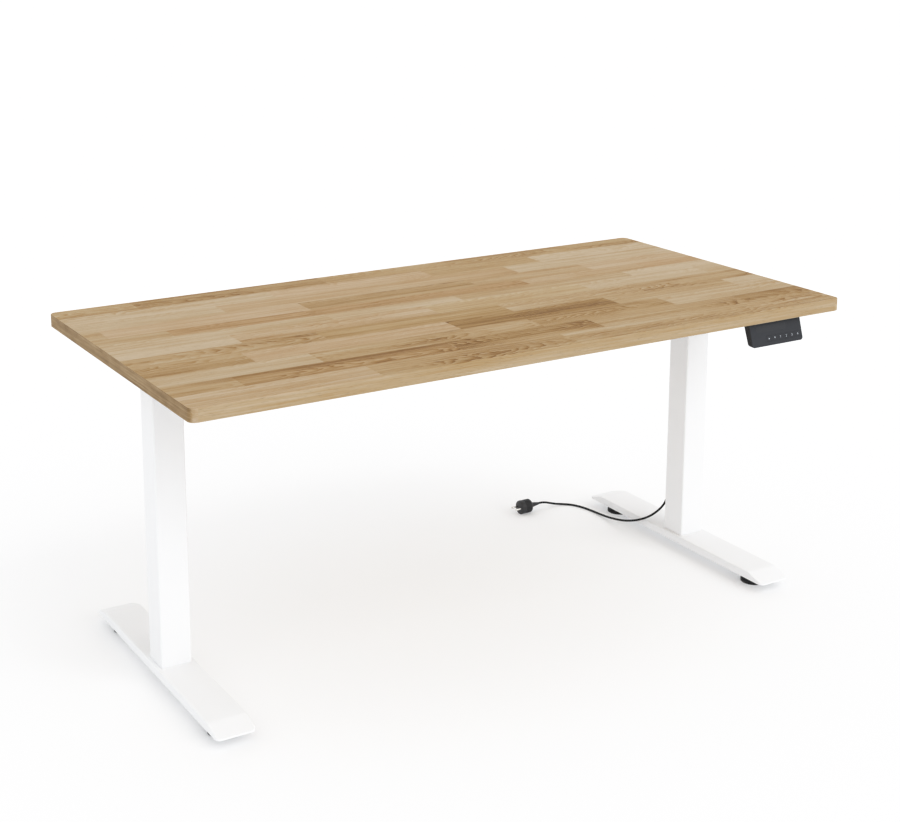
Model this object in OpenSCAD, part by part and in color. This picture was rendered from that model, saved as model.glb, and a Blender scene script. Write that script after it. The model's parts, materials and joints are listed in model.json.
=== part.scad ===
// Height adjustable standing desk: a wooden top on two motor-driven lifting columns with T-feet.
// Millimetres, +Z up. The origin is on the floor below the middle of the tabletop, and the
// user stands on the -Y side. The desk is drawn at its lowest height.

/* [Tabletop] */
// Length of the tabletop, left to right
top_len = 1600; // [1500:10:1700]
// Depth of the tabletop, front to back
top_depth = 800; // [760:10:840]
// Thickness of the tabletop
top_thick = 28; // [22:1:32]
// Radius of the tabletop's corners, seen from above
top_corner = 16; // [10:1:60]
// Height of the working surface at the lowest position
rest_height = 720; // [716:1:724]

/* [Columns] */
// Distance from the tabletop's end to the middle of a column
column_inset = 102; // [90:1:120]
// Outside width of the square outer tube
column_w = 68; // [66:1:70]
// Radius of the outer tube's edges
column_edge = 4; // [3:0.5:6]
// Wall of both tubes
tube_wall = 2; // [1.5:0.5:2.5]
// How far the top rises from its lowest position
lift_travel = 470; // [300:10:480]

/* [Feet] */
// Width of a foot
foot_w = 86; // [80:1:100]
// Length of a foot, front to back
foot_len = 676; // [660:2:700]
// Height of a foot's flat top
foot_top = 40; // [38:1:44]
// Height of the foot's lower edge
foot_skirt = 22; // [20:1:22]
// Distance of each fold from the middle of the foot
fold_y = 290; // [285:1:300]
// Radius of a foot's end corners, seen from above
foot_corner = 12; // [6:1:16]
// Thickness of the foot's sheet steel
foot_sheet = 2.5; // [2:0.5:3]
// Diameter of a levelling pad
pad_d = 60; // [45:1:60]
// Distance of a levelling pad from the middle of the foot
pad_y = 264; // [258:1:276]

/* [Handset] */
// Width of the handset
handset_w = 150; // [146:1:154]
// Distance from the tabletop's middle to the handset's middle
handset_x = 614; // [560:1:620]
// Distance between neighbouring keys
key_pitch = 17.2; // [16:0.1:18]
// How far a key travels
key_travel = 0.8; // [0.4:0.1:0.8]

/* [Mains lead] */
// Diameter of the mains lead
lead_d = 5.5; // [5:0.5:7]

/* [Hidden] */
$fn = 48;
eps = 1;

// Levels, from the top down
under_z = rest_height - top_thick;
side_sheet = 3;
head_sheet = 4;
side_z = under_z - side_sheet;
head_z = side_z - head_sheet;
rail_h = 36;
rail_w = 20;
rail_wall = 2;
rail_play = 0.2;
rail_z = head_z - rail_h / 2;
front_rail_y = -67;
rear_rail_y = 42;
gearbox_h = 45;
gearbox_z = head_z - gearbox_h;
axis_z = gearbox_z + 22;
worm_y = -24;

// Columns
column_x = top_len / 2 - column_inset;
inner_w = 60;
inner_edge = 3;
outer_top = 632;
collar_lip = 6;
inner_bottom = 50;
base_plate_t = 6;
base_top = foot_top + base_plate_t;
bolt_r = 4;
bolt_offset = 22;
thread_play = 0.05;

// Lead screw and its nut
screw_r = 8;
screw_bottom = 70;
journal_r = 6;
running = 0.06;
nut_tube_r = 17;
nut_tube_wall = 2;
nut_tube_top = 590;
nut_len = 34;

// Worm drive
wheel_r = 18;
wheel_teeth = 28;
worm_r = 5.9;
worm_shaft_r = 4;
bearing_r = 14;
housing_x = 34;
housing_front = -42;
housing_back = 30;
motor_r = 25;
motor_len = 95;
cover_r = 27.5;

// Levelling feet
stud_r = 4;
pad_t = 8;
stud_top = 28.5;
leveller_nut_r = 7.5;
leveller_nut_z = 21.5;

// Control box behind the rear rail, near the right column
box_x = [410, 600];
box_y = [84, 164];
box_z = 652;
box_wall = 2;
socket_z = 671;
inlet_y = 104;
inlet_z = 669;
left_motor_socket_y = 98;
right_motor_socket_y = 118;
handset_socket_y = 138;

// Handset: its face leans, with its lower edge the furthest forward
face_low = [-400, 638];
face_high = [-384, 691];
face_up = (face_high - face_low) / norm(face_high - face_low);
face_in = [face_up[1], -face_up[0]];
face_tilt = -atan((face_high[0] - face_low[0]) / (face_high[1] - face_low[1]));
cover_t = 2;
key_z = 653;
key_w = 13.2;
key_h = 13;
key_gap = 0.3;
key_depth = 3.2;
window_x = [-58, 30];
window_z = [668, 682];
corner_r = 8;
board_depth = 8;

// Screws into the tabletop
wood_screw_r = 2.5;
wood_screw_len = 16;
bracket_screw_y = [-262, -150, 150, 262];
bracket_screw_x = 18;
handset_screw_y = -350;
box_ear_x = [box_x[0] - 6, box_x[1] + 6];
box_ear_y = [box_y[0] + 36, box_y[1] - 8];

// Routes of the leads
mains_top_route = [
    [640, 104, 669], [652, 104, 669], [666, 102, 667], [679, 97, 661], [688.5, 89, 652],
    [693.5, 79.5, 640.5], [694, 71, 628], [694, 64, 615], [694, 60.5, 601], [694, 60, 587],
    [694, 60, 574]
];
mains_drop_xy = [694, 60];
mains_drop_z = [130, 574];
mains_floor_route = [
    [694, 60, 130], [694, 60, 116], [692, 61, 101], [685, 65, 84.5], [673.5, 73.5, 68],
    [659, 86, 53], [645, 104, 41], [635, 128, 31], [630, 162, 21], [629, 210, 11.5],
    [631, 255, 5.2], [629, 295, 3.2], [622, 330, 2.9], [609, 357, 2.9], [590, 373, 3.6],
    [570, 380, 6.4], [553, 381, 11.5], [538, 381, 16.2], [525, 381, 18.5], [514, 381, 18.5]
];
left_motor_route = [
    [-560, -24, 662], [-545, -24, 662], [-528, -18, 656], [-516, 0, 646], [-508, 25, 641],
    [-495, 48, 641], [-478, 61, 652], [-455, 64, 665], [-430, 64, 668], [-300, 64, 668],
    [0, 64, 668], [300, 64, 668], [335, 65, 669], [357, 72, 670], [370, 85, 671],
    [382, 96, 671], [392, 98, 671], [398, 98, 671]
];
right_motor_route = [
    [560, -24, 662], [545, -24, 662], [528, -18, 656], [516, 0, 646], [508, 25, 641],
    [492, 50, 640], [470, 61, 640], [430, 64, 640], [400, 66, 641], [377, 72, 647],
    [362, 88, 658], [362, 106, 668], [376, 117, 671], [390, 118, 671], [398, 118, 671]
];
handset_route = [
    [614, -379, 668], [614, -368, 668], [613, -352, 673], [609, -335, 682],
    [603, -312, 688], [600, -285, 688], [600, -180, 688], [599, -140, 688],
    [588, -112, 688], [562, -100, 688], [460, -100, 688], [378, -100, 687],
    [352, -100, 678], [338, -96, 660], [332, -89, 648], [330, -76, 641],
    [330, -50, 639], [330, 20, 640], [330, 52, 641], [332, 78, 648],
    [338, 108, 660], [352, 131, 669], [372, 138, 671], [390, 138, 671], [398, 138, 671]
];
motor_lead_d = 5;
handset_lead_d = 3.6;
plug_y = 381;
plug_r = 18.5;
plug_pin_r = 2.4;
plug_pin_gap = 19;

// ---- Shapes that repeat ----

module rounded_rect(w, d, r) {
    square([w - 2 * r, d], center = true);
    square([w, d - 2 * r], center = true);
    for (x = [-1, 1], y = [-1, 1])
        translate([x * (w / 2 - r), y * (d / 2 - r)]) circle(r);
}

module square_tube(z0, z1, w, wall, edge) {
    translate([0, 0, z0])
        linear_extrude(z1 - z0)
            difference() {
                rounded_rect(w, w, edge);
                rounded_rect(w - 2 * wall, w - 2 * wall, edge - wall / 2);
            }
}

module block(x, y, z) {
    translate([x[0], y[0], z[0]]) cube([x[1] - x[0], y[1] - y[0], z[1] - z[0]]);
}

// A prism along X whose outline is given in Y and Z
module yz_prism(x0, x1, outline) {
    translate([x0, 0, 0]) rotate([90, 0, 90]) linear_extrude(x1 - x0) polygon(outline);
}

module rod_x(x0, x1, r) {
    translate([x0, 0, 0]) rotate([0, 90, 0]) cylinder(r = r, h = x1 - x0);
}

module rod_y(y0, y1, r) {
    translate([0, y0, 0]) rotate([-90, 0, 0]) cylinder(r = r, h = y1 - y0);
}

module hex_head(r, h) {
    cylinder(r = r, h = h, $fn = 6);
}

// Draws its children at a column, with +X pointing away from the desk's middle
module at_column(side) {
    translate([side * column_x, 0, 0]) mirror([side < 0 ? 1 : 0, 0, 0]) children();
}

module both_columns() {
    for (side = [-1, 1])
        at_column(side) children();
}

module column_bolts_at() {
    for (x = [-1, 1], y = [-1, 1])
        translate([x * bolt_offset, y * bolt_offset, 0]) children();
}

// ---- A lead: a tube swept along a smooth curve through its route's points ----

function unit(v) = v / norm(v);
function bend(a, b, c, d, t) =
    0.5 * (2 * b + (c - a) * t + (2 * a - 5 * b + 4 * c - d) * t * t
    + (3 * b - a - 3 * c + d) * t * t * t);
function smooth(route, steps) =
    let (last = len(route) - 1)
    [
        for (i = [0 : last - 1], j = [0 : steps - 1])
            bend(route[max(i - 1, 0)], route[i], route[i + 1], route[min(i + 2, last)], j / steps),
        route[last]
    ];
function tangents(route, points) =
    let (last = len(points) - 1)
    [
        unit(route[1] - route[0]),
        for (i = [1 : last - 1]) unit(points[i + 1] - points[i - 1]),
        unit(route[len(route) - 1] - route[len(route) - 2])
    ];
function carried(n, t) = unit(n - (n * t) * t);
function normals(t) =
    [for (i = 0, n = carried([0.2, 0.3, 1], t[0]); i < len(t);
        n = carried(n, t[min(i + 1, len(t) - 1)]), i = i + 1) n];

module lead(route, d, sides, steps) {
    p = smooth(route, steps);
    t = tangents(route, p);
    n = normals(t);
    last = len(p) - 1;
    ring = [for (i = [0 : last], k = [0 : sides - 1])
        let (a = 360 * k / sides)
        p[i] + d / 2 * (cos(a) * n[i] + sin(a) * cross(t[i], n[i]))];
    start_cap = [for (k = [0 : sides - 1]) k];
    end_cap = [for (k = [sides - 1 : -1 : 0]) last * sides + k];
    walls = [for (i = [0 : last - 1], k = [0 : sides - 1])
        let (m = (k + 1) % sides)
        [i * sides + k, (i + 1) * sides + k, (i + 1) * sides + m, i * sides + m]];
    polyhedron(ring, concat([start_cap, end_cap], walls));
}

// ---- Tabletop and its screws ----

module bracket_screws_at() {
    both_columns()
        for (x = [-1, 1], y = bracket_screw_y)
            translate([x * bracket_screw_x, y, 0]) children();
}

module box_screws_at() {
    for (x = box_ear_x, y = box_ear_y)
        translate([x, y, 0]) children();
}

module handset_screws_at() {
    for (side = [-1, 1])
        translate([handset_x + side * handset_w * 0.36, handset_screw_y, 0]) children();
}

module pilot_hole() {
    translate([0, 0, under_z - eps]) cylinder(r = wood_screw_r, h = wood_screw_len + eps);
}

module tabletop() {
    color("burlywood")
        difference() {
            translate([0, 0, under_z])
                linear_extrude(top_thick) rounded_rect(top_len, top_depth, top_corner);
            bracket_screws_at() pilot_hole();
            box_screws_at() pilot_hole();
            handset_screws_at() pilot_hole();
        }
}

// A wood screw whose head bears on a plate of the given thickness
module wood_screw(plate) {
    head_r = 5;
    head_h = 3;
    translate([0, 0, under_z - plate]) cylinder(r = wood_screw_r, h = wood_screw_len + plate);
    translate([0, 0, under_z - plate - head_h]) cylinder(r = head_r, h = head_h);
}

module tabletop_screws() {
    color("silver") {
        bracket_screws_at() wood_screw(side_sheet);
        box_screws_at() wood_screw(side_sheet);
        handset_screws_at() wood_screw(side_sheet);
    }
}

// ---- Feet and levelling feet ----

module foot_outline(inset) {
    half = foot_len / 2;
    tip_top = foot_skirt + 3;
    slope = (foot_top - tip_top) / (half - fold_y);
    drop = inset * sqrt(1 + slope * slope);
    low = foot_skirt - (inset > 0 ? eps : 0);
    tip_y = half - inset;
    tip_z = tip_top + inset * slope - drop;
    knee_y = fold_y - (drop - inset) / slope;
    knee_z = foot_top - inset;
    yz_prism(-foot_w / 2, foot_w / 2, [
        [-tip_y, low], [-tip_y, tip_z], [-knee_y, knee_z],
        [knee_y, knee_z], [tip_y, tip_z], [tip_y, low]
    ]);
}

module foot_block(inset) {
    intersection() {
        foot_outline(inset);
        translate([0, 0, foot_skirt - 2 * eps])
            linear_extrude(foot_top)
                rounded_rect(foot_w - 2 * inset, foot_len - 2 * inset, foot_corner - inset);
    }
}

module foot(side) {
    color("white")
        at_column(side)
            difference() {
                foot_block(0);
                foot_block(foot_sheet);
                column_bolts_at() cylinder(r = bolt_r + 0.5, h = foot_top + eps);
            }
}

module foot_bolts() {
    head_h = 5.5;
    shank_z = foot_top - foot_sheet;
    color("silver")
        both_columns()
            column_bolts_at() {
                translate([0, 0, shank_z]) cylinder(r = bolt_r, h = base_top - shank_z);
                translate([0, 0, shank_z - head_h]) hex_head(7.5, head_h);
            }
}

module leveller(side, end) {
    collar_h = 4;
    edge_h = 2;
    edge_r = pad_d / 2 - 3;
    color("dimgray")
        at_column(side)
            translate([0, end * pad_y, 0]) {
                cylinder(r = pad_d / 2, h = pad_t - edge_h);
                translate([0, 0, pad_t - edge_h]) cylinder(r1 = pad_d / 2, r2 = edge_r, h = edge_h);
                translate([0, 0, pad_t]) hex_head(8, collar_h);
                translate([0, 0, pad_t]) cylinder(r = stud_r, h = stud_top - pad_t);
            }
}

module leveller_nuts() {
    nut_h = foot_top - foot_sheet - leveller_nut_z;
    color("silver")
        both_columns()
            for (end = [-1, 1])
                translate([0, end * pad_y, leveller_nut_z])
                    difference() {
                        cylinder(r = leveller_nut_r, h = nut_h, $fn = 6);
                        translate([0, 0, -eps]) cylinder(r = stud_r + running, h = nut_h + 2 * eps);
                    }
}

// ---- Columns, the fixed stage ----

module column_base_plates() {
    plate_w = column_w - 2 * tube_wall;
    color("white")
        both_columns()
            difference() {
                translate([0, 0, foot_top])
                    linear_extrude(base_plate_t) rounded_rect(plate_w, plate_w, column_edge - tube_wall / 2);
                column_bolts_at() cylinder(r = bolt_r + thread_play, h = base_top + eps);
            }
}

module outer_tube(side) {
    color("white") at_column(side) square_tube(foot_top, outer_top, column_w, tube_wall, column_edge);
}

module guide_collars() {
    insert_len = 30;
    slip = 0.3;
    insert_w = column_w - 2 * tube_wall - 0.1;
    guide_wall = (insert_w - inner_w) / 2 - slip;
    lip_wall = (column_w - inner_w) / 2 - slip;
    color("whitesmoke")
        both_columns() {
            square_tube(outer_top - insert_len, outer_top, insert_w, guide_wall, inner_edge);
            square_tube(outer_top, outer_top + collar_lip, column_w, lip_wall, column_edge);
        }
}

module nut_tubes() {
    color("silver")
        both_columns()
            translate([0, 0, base_top])
                difference() {
                    cylinder(r = nut_tube_r, h = nut_tube_top - base_top);
                    translate([0, 0, -eps])
                        cylinder(r = nut_tube_r - nut_tube_wall, h = nut_tube_top - base_top + 2 * eps);
                }
}

module spindle_nuts() {
    flange_h = 4;
    color("khaki")
        both_columns()
            difference() {
                union() {
                    translate([0, 0, nut_tube_top - nut_len])
                        cylinder(r = nut_tube_r - nut_tube_wall, h = nut_len);
                    translate([0, 0, nut_tube_top]) cylinder(r = nut_tube_r, h = flange_h);
                }
                translate([0, 0, nut_tube_top - nut_len - eps])
                    cylinder(r = screw_r + running, h = nut_len + flange_h + 2 * eps);
            }
}

// ---- Columns, the moving stage ----

module inner_tube(side) {
    color("white") at_column(side) square_tube(inner_bottom, gearbox_z, inner_w, tube_wall, inner_edge);
}

module lower_glides() {
    glide_z = inner_bottom + 2;
    glide_h = 40;
    slip = 0.3;
    glide_w = column_w - 2 * tube_wall - 2 * slip;
    glide_wall = (glide_w - inner_w) / 2;
    color("whitesmoke")
        both_columns() square_tube(glide_z, glide_z + glide_h, glide_w, glide_wall, inner_edge);
}

// ---- Lead screws and worm drives ----

screw_top = gearbox_z + 1.5;
bearing_z = gearbox_z + 2;
bearing_h = 10;
wheel_z = [axis_z - 8, axis_z + 8];
journal_top = head_z - 3;

module spindle(side) {
    color("silver")
        at_column(side) {
            translate([0, 0, screw_bottom]) cylinder(r = screw_r, h = screw_top - screw_bottom);
            translate([0, 0, screw_top]) cylinder(r = journal_r, h = journal_top - screw_top);
        }
}

module worm_wheel(side) {
    tooth_depth = 2.5;
    gap_w = 2.2;
    bore_r = journal_r;
    color("khaki")
        at_column(side)
            translate([0, 0, wheel_z[0]])
                linear_extrude(wheel_z[1] - wheel_z[0])
                    difference() {
                        circle(wheel_r);
                        circle(bore_r);
                        for (k = [0 : wheel_teeth - 1])
                            rotate(360 * k / wheel_teeth)
                                translate([wheel_r - tooth_depth, -gap_w / 2])
                                    square([tooth_depth + eps, gap_w]);
                    }
}

module worm(side) {
    worm_half = 13;
    shaft_in = -housing_x - 12;
    shaft_out = housing_x - 8;
    color("silver")
        at_column(side)
            translate([0, worm_y, axis_z]) {
                rod_x(shaft_in, shaft_out, worm_shaft_r);
                rod_x(-worm_half, worm_half, worm_r);
            }
}

module spindle_bearings() {
    color("silver")
        both_columns()
            translate([0, 0, bearing_z])
                difference() {
                    cylinder(r = bearing_r, h = bearing_h);
                    translate([0, 0, -eps]) cylinder(r = journal_r + running, h = bearing_h + 2 * eps);
                }
}

lid_t = 4;
lid_z = head_z - lid_t;

module gearbox_housings() {
    cavity_r = wheel_r + 2.5;
    worm_cavity_r = 9;
    worm_cavity_x = 20;
    color("dimgray")
        both_columns()
            difference() {
                translate([0, (housing_front + housing_back) / 2, gearbox_z])
                    linear_extrude(lid_z - gearbox_z)
                        rounded_rect(2 * housing_x, housing_back - housing_front, 5);
                translate([0, 0, gearbox_z - eps]) cylinder(r = screw_r + 1, h = gearbox_h);
                translate([0, 0, bearing_z]) cylinder(r = bearing_r, h = bearing_h + eps);
                translate([0, 0, wheel_z[0] - 1]) cylinder(r = cavity_r, h = gearbox_h);
                translate([0, worm_y, axis_z]) {
                    rod_x(-worm_cavity_x, worm_cavity_x, worm_cavity_r);
                    rod_x(-housing_x - eps, housing_x - 6, worm_shaft_r + running);
                }
            }
}

module gearbox_lids() {
    boss_r = 11;
    boss_z = axis_z + 10;
    color("dimgray")
        both_columns()
            difference() {
                union() {
                    translate([0, (housing_front + housing_back) / 2, lid_z])
                        linear_extrude(lid_t) rounded_rect(2 * housing_x, housing_back - housing_front, 5);
                    translate([0, 0, boss_z]) cylinder(r = boss_r, h = lid_z - boss_z + eps);
                }
                translate([0, 0, boss_z - eps])
                    cylinder(r = journal_r + running, h = journal_top + 0.5 - boss_z + eps);
            }
}

module motors() {
    flange_t = 5;
    shaft_hole = 14;
    color("darkgray")
        both_columns()
            translate([-housing_x, worm_y, axis_z])
                difference() {
                    rod_x(-motor_len, 0, motor_r);
                    rod_x(-shaft_hole, eps, worm_shaft_r + running);
                    rod_x(-motor_len - eps, -motor_len + flange_t, motor_r / 2);
                }
}

module motor_covers() {
    front = -10;
    cap_t = 2.5;
    slip = 0.2;
    lead_hole_r = motor_lead_d / 2 + 0.2;
    back = -motor_len - 5;
    color("darkslategray")
        both_columns()
            translate([-housing_x, worm_y, axis_z])
                difference() {
                    rod_x(back, front, cover_r);
                    rod_x(back + cap_t, front + eps, motor_r + slip);
                    rod_x(back - eps, back + cap_t + eps, lead_hole_r);
                }
}

// ---- Top frame ----

module head_brackets() {
    half_len = 95;
    flange_t = 3;
    flange_h = 12;
    color("white")
        both_columns()
            difference() {
                union() {
                    block([-housing_x, housing_x], [-half_len, half_len], [head_z, side_z]);
                    for (end = [0, 1])
                        mirror([0, end, 0])
                            block([-housing_x, housing_x], [half_len - flange_t, half_len],
                                [head_z - flange_h, head_z]);
                }
                head_bolts_at()
                    translate([0, 0, head_z - eps]) cylinder(r = bolt_r + thread_play, h = under_z);
            }
}

module head_bolts_at() {
    for (x = [-1, 1], y = [-84, 80])
        translate([x * bracket_screw_x, y, 0]) children();
}

module side_bracket_flange() {
    start_y = 130;
    end_y = 280;
    deep = 24;
    shallow = 9;
    outline = [
        [start_y, side_z], [end_y, side_z], [end_y, side_z - shallow],
        [start_y + deep, side_z - deep], [start_y + 6, side_z - deep]
    ];
    for (end = [0, 1], edge = [0, 1])
        mirror([0, end, 0]) mirror([edge, 0, 0])
            yz_prism(housing_x + 1 - side_sheet, housing_x + 1, outline);
}

module side_brackets() {
    color("white")
        both_columns()
            difference() {
                union() {
                    translate([0, 0, side_z])
                        linear_extrude(side_sheet) rounded_rect(2 * housing_x + 2, 560, 4);
                    side_bracket_flange();
                }
                for (x = [-1, 1], y = bracket_screw_y)
                    translate([x * bracket_screw_x, y, side_z - eps])
                        cylinder(r = wood_screw_r, h = 2 * side_sheet);
                head_bolts_at()
                    translate([0, 0, side_z - eps]) cylinder(r = bolt_r + thread_play, h = 2 * side_sheet);
            }
}

module bracket_bolts() {
    head_h = 5;
    color("silver")
        both_columns()
            head_bolts_at() {
                translate([0, 0, head_z]) cylinder(r = bolt_r, h = under_z - head_z);
                translate([0, 0, head_z - head_h]) cylinder(r = 6.5, h = head_h);
            }
}

rail_overlap_x = [250, 430];
rail_bolt_x = [300, 390];
rail_bolt_r = 3;
centre_w = rail_w + 2 * rail_play + 2 * rail_wall;
centre_h = rail_h + 2 * rail_play + 2 * rail_wall;

module hollow_rail(x0, x1, w, h) {
    translate([x0, 0, 0])
        rotate([90, 0, 90])
            linear_extrude(x1 - x0)
                difference() {
                    rounded_rect(w, h, 2.5);
                    rounded_rect(w - 2 * rail_wall, h - 2 * rail_wall, 1);
                }
}

// Draws its children on both rails, with +Y pointing away from the desk's middle
module on_rails() {
    translate([0, front_rail_y, rail_z]) mirror([0, 1, 0]) children();
    translate([0, rear_rail_y, rail_z]) children();
}

module rail_bolts_at() {
    for (x = rail_bolt_x, side = [-1, 1])
        translate([side * x, 0, 0]) children();
}

module centre_rails() {
    color("white")
        on_rails()
            difference() {
                hollow_rail(-rail_overlap_x[1], rail_overlap_x[1], centre_w, centre_h);
                rail_bolts_at() rod_y(0, centre_w, rail_bolt_r);
            }
}

module extension_rails() {
    color("white")
        for (side = [0, 1])
            mirror([side, 0, 0])
                on_rails()
                    difference() {
                        hollow_rail(rail_overlap_x[0], column_x + housing_x, rail_w, rail_h);
                        rail_bolts_at() rod_y(0, rail_w, rail_bolt_r);
                    }
}

module rail_bolts() {
    head_h = 4;
    color("silver")
        on_rails()
            rail_bolts_at() {
                rod_y(2, centre_w / 2, rail_bolt_r);
                rod_y(centre_w / 2, centre_w / 2 + head_h, 5.5);
            }
}

// ---- Control box ----

module control_box_case() {
    centre = [(box_x[0] + box_x[1]) / 2, (box_y[0] + box_y[1]) / 2];
    size = [box_x[1] - box_x[0], box_y[1] - box_y[0]];
    vent_w = 2.5;
    color("darkslategray")
        difference() {
            translate([centre[0], centre[1], box_z])
                linear_extrude(side_z - box_z) rounded_rect(size[0], size[1], 4);
            translate([centre[0], centre[1], box_z + box_wall])
                linear_extrude(side_z)
                    rounded_rect(size[0] - 2 * box_wall, size[1] - 2 * box_wall, 2);
            socket_blocks(eps);
            for (k = [0 : 7])
                translate([box_x[0] + 50 + 12 * k, box_y[1] - box_wall - eps, box_z + 10])
                    cube([vent_w, box_wall + 2 * eps, 18]);
        }
}

// The sockets, made longer by more at their outer ends so that they can also cut the case
module socket_blocks(more) {
    depth = 14;
    for (y = [left_motor_socket_y, right_motor_socket_y, handset_socket_y])
        block([box_x[0] - more, box_x[0] + depth], [y - 7, y + 7], [socket_z - 6, socket_z + 6]);
    block([box_x[1] - 18, box_x[1] + more], [inlet_y - 12, inlet_y + 12], [inlet_z - 9, inlet_z + 9]);
}

module control_box_sockets() {
    color("black") socket_blocks(0);
}

module control_box_lid() {
    ear = 12;
    color("darkslategray")
        difference() {
            translate([(box_x[0] + box_x[1]) / 2, (box_y[0] + box_y[1]) / 2, side_z])
                linear_extrude(side_sheet)
                    rounded_rect(box_x[1] - box_x[0] + 2 * ear, box_y[1] - box_y[0], 4);
            box_screws_at() translate([0, 0, side_z - eps]) cylinder(r = wood_screw_r, h = 2 * side_sheet);
        }
}

module control_box_board() {
    board_z = box_z + 4;
    board_t = 1.6;
    margin = 5;
    parts_z = board_z + board_t;
    color("darkgreen")
        block([box_x[0] + margin, box_x[1] - margin], [box_y[0] + margin, box_y[1] - margin],
            [board_z, parts_z]);
    color("khaki") block([460, 500], [104, 144], [parts_z, parts_z + 24]);
    color("dimgray")
        for (y = [108, 132])
            translate([525, y, parts_z]) cylinder(r = 10, h = 22);
    color("black")
        for (x = [438, 552])
            block([x - 6, x + 6], [118, 146], [parts_z, parts_z + 6]);
}

// ---- Handset ----

module handset_front_shape() {
    mid_z = (face_low[1] + under_z) / 2;
    tall = 2 * (under_z - mid_z) + 4 * corner_r;
    translate([handset_x, 0, mid_z + 2 * corner_r - cover_t / 2])
        rotate([90, 0, 0])
            translate([0, 0, -eps])
                linear_extrude(top_depth, center = true) rounded_rect(handset_w, tall, corner_r);
}

module handset_case() {
    back_low = [-384, 640];
    back_high = [-368, 683];
    back_top = [-358, side_z];
    flange_y = -340;
    wall = 2;
    side_wall = 3;
    front_low = face_low + cover_t * face_in;
    front_high = face_high + cover_t * face_in;
    outline = [
        front_low, front_high, [front_high[0], under_z], [flange_y, under_z],
        [flange_y, side_z], back_top, back_high, back_low
    ];
    cavity = [
        [front_low[0] - eps, front_low[1] + wall + 0.4],
        [front_high[0] - eps, side_z - wall],
        [back_high[0] - wall, side_z - wall],
        [back_high[0] - wall, back_high[1] + eps],
        [back_low[0] - wall, back_low[1] + wall]
    ];
    color("darkslategray")
        difference() {
            intersection() {
                yz_prism(handset_x - handset_w / 2, handset_x + handset_w / 2, outline);
                handset_front_shape();
            }
            yz_prism(handset_x - handset_w / 2 + side_wall, handset_x + handset_w / 2 - side_wall, cavity);
            translate([handset_x, 0, 668]) rod_y(-378, -370, handset_lead_d / 2 + 0.4);
            handset_screws_at()
                translate([0, 0, side_z - eps]) cylinder(r = wood_screw_r, h = 2 * side_sheet);
        }
}

// Draws its children in the plane of the handset's face: X along it, +Y into it, Z up it
module on_face(x, z) {
    y = face_low[0] + (z - face_low[1]) * (face_high[0] - face_low[0]) / (face_high[1] - face_low[1]);
    translate([x, y, z]) rotate([face_tilt, 0, 0]) children();
}

module face_prism(y0, y1, w, h, r) {
    translate([0, y1, 0]) rotate([90, 0, 0]) linear_extrude(y1 - y0) rounded_rect(w, h, r);
}

function key_x(k) = handset_x + (k - 2.5) * key_pitch + 19;

window_mid = [handset_x + (window_x[0] + window_x[1]) / 2, (window_z[0] + window_z[1]) / 2];
window_size = [window_x[1] - window_x[0], window_z[1] - window_z[0]];

module handset_cover() {
    outline = [face_low, face_high, face_high + cover_t * face_in, face_low + cover_t * face_in];
    color("darkslategray")
        difference() {
            intersection() {
                yz_prism(handset_x - handset_w / 2, handset_x + handset_w / 2, outline);
                handset_front_shape();
            }
            for (k = [0 : 5])
                on_face(key_x(k), key_z)
                    face_prism(-eps, cover_t + eps, key_w + 2 * key_gap, key_h + 2 * key_gap, 2);
            on_face(window_mid[0], window_mid[1])
                face_prism(-eps, cover_t + eps, window_size[0], window_size[1], 1);
        }
}

module handset_display() {
    color("black")
        on_face(window_mid[0], window_mid[1]) face_prism(0, cover_t, window_size[0], window_size[1], 1);
}

module handset_board() {
    board_t = 1.6;
    switch_w = 6;
    switch_top = key_depth + 1.2 + key_travel + 0.1;
    color("darkgreen")
        on_face(handset_x, 664) face_prism(board_depth, board_depth + board_t, handset_w - 8, 36, 1);
    color("silver")
        for (k = [0 : 5])
            on_face(key_x(k), key_z) face_prism(switch_top, board_depth, switch_w, switch_w, 1);
    color("dimgray")
        on_face(window_mid[0], window_mid[1])
            face_prism(cover_t + 0.5, board_depth, window_size[0] - 4, window_size[1] - 2, 1);
}

module key(k) {
    lip = 1;
    stem_r = 1.6;
    color("darkslategray")
        on_face(key_x(k), key_z) {
            face_prism(0, key_depth, key_w, key_h, 1.8);
            face_prism(key_depth - lip, key_depth, key_w + 2 * lip, key_h + 2 * lip, 1.8);
            rod_y(key_depth, key_depth + 1.2, stem_r);
        }
}

// ---- Mains lead ----

module mains_connector() {
    body_x = [box_x[1], box_x[1] + 18];
    relief_end = mains_top_route[0][0];
    color("black") {
        translate([body_x[0], inlet_y, inlet_z])
            rotate([90, 0, 90]) linear_extrude(body_x[1] - body_x[0]) rounded_rect(26, 20, 5);
        translate([body_x[1], inlet_y, inlet_z])
            rotate([0, 90, 0]) cylinder(r1 = 7, r2 = lead_d / 2 + 0.8, h = relief_end - body_x[1]);
    }
}

module mains_cord_top() {
    color("black") lead(mains_top_route, lead_d, 10, 2);
}

module mains_cord_drop() {
    color("black")
        translate([mains_drop_xy[0], mains_drop_xy[1], mains_drop_z[0]])
            cylinder(d = lead_d, h = mains_drop_z[1] - mains_drop_z[0]);
}

module mains_cord_floor() {
    color("black") lead(mains_floor_route, lead_d, 10, 2);
}

plug_x = [452, 484, 492, 514];

module plug_body() {
    color("black")
        translate([0, plug_y, plug_r]) {
            rod_x(plug_x[0], plug_x[1], plug_r);
            translate([plug_x[1], 0, 0])
                rotate([0, 90, 0]) cylinder(r1 = plug_r, r2 = 9, h = plug_x[2] - plug_x[1]);
            translate([plug_x[2], 0, 0])
                rotate([0, 90, 0]) cylinder(r1 = 7, r2 = lead_d / 2 + 0.8, h = plug_x[3] - plug_x[2]);
        }
}

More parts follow.
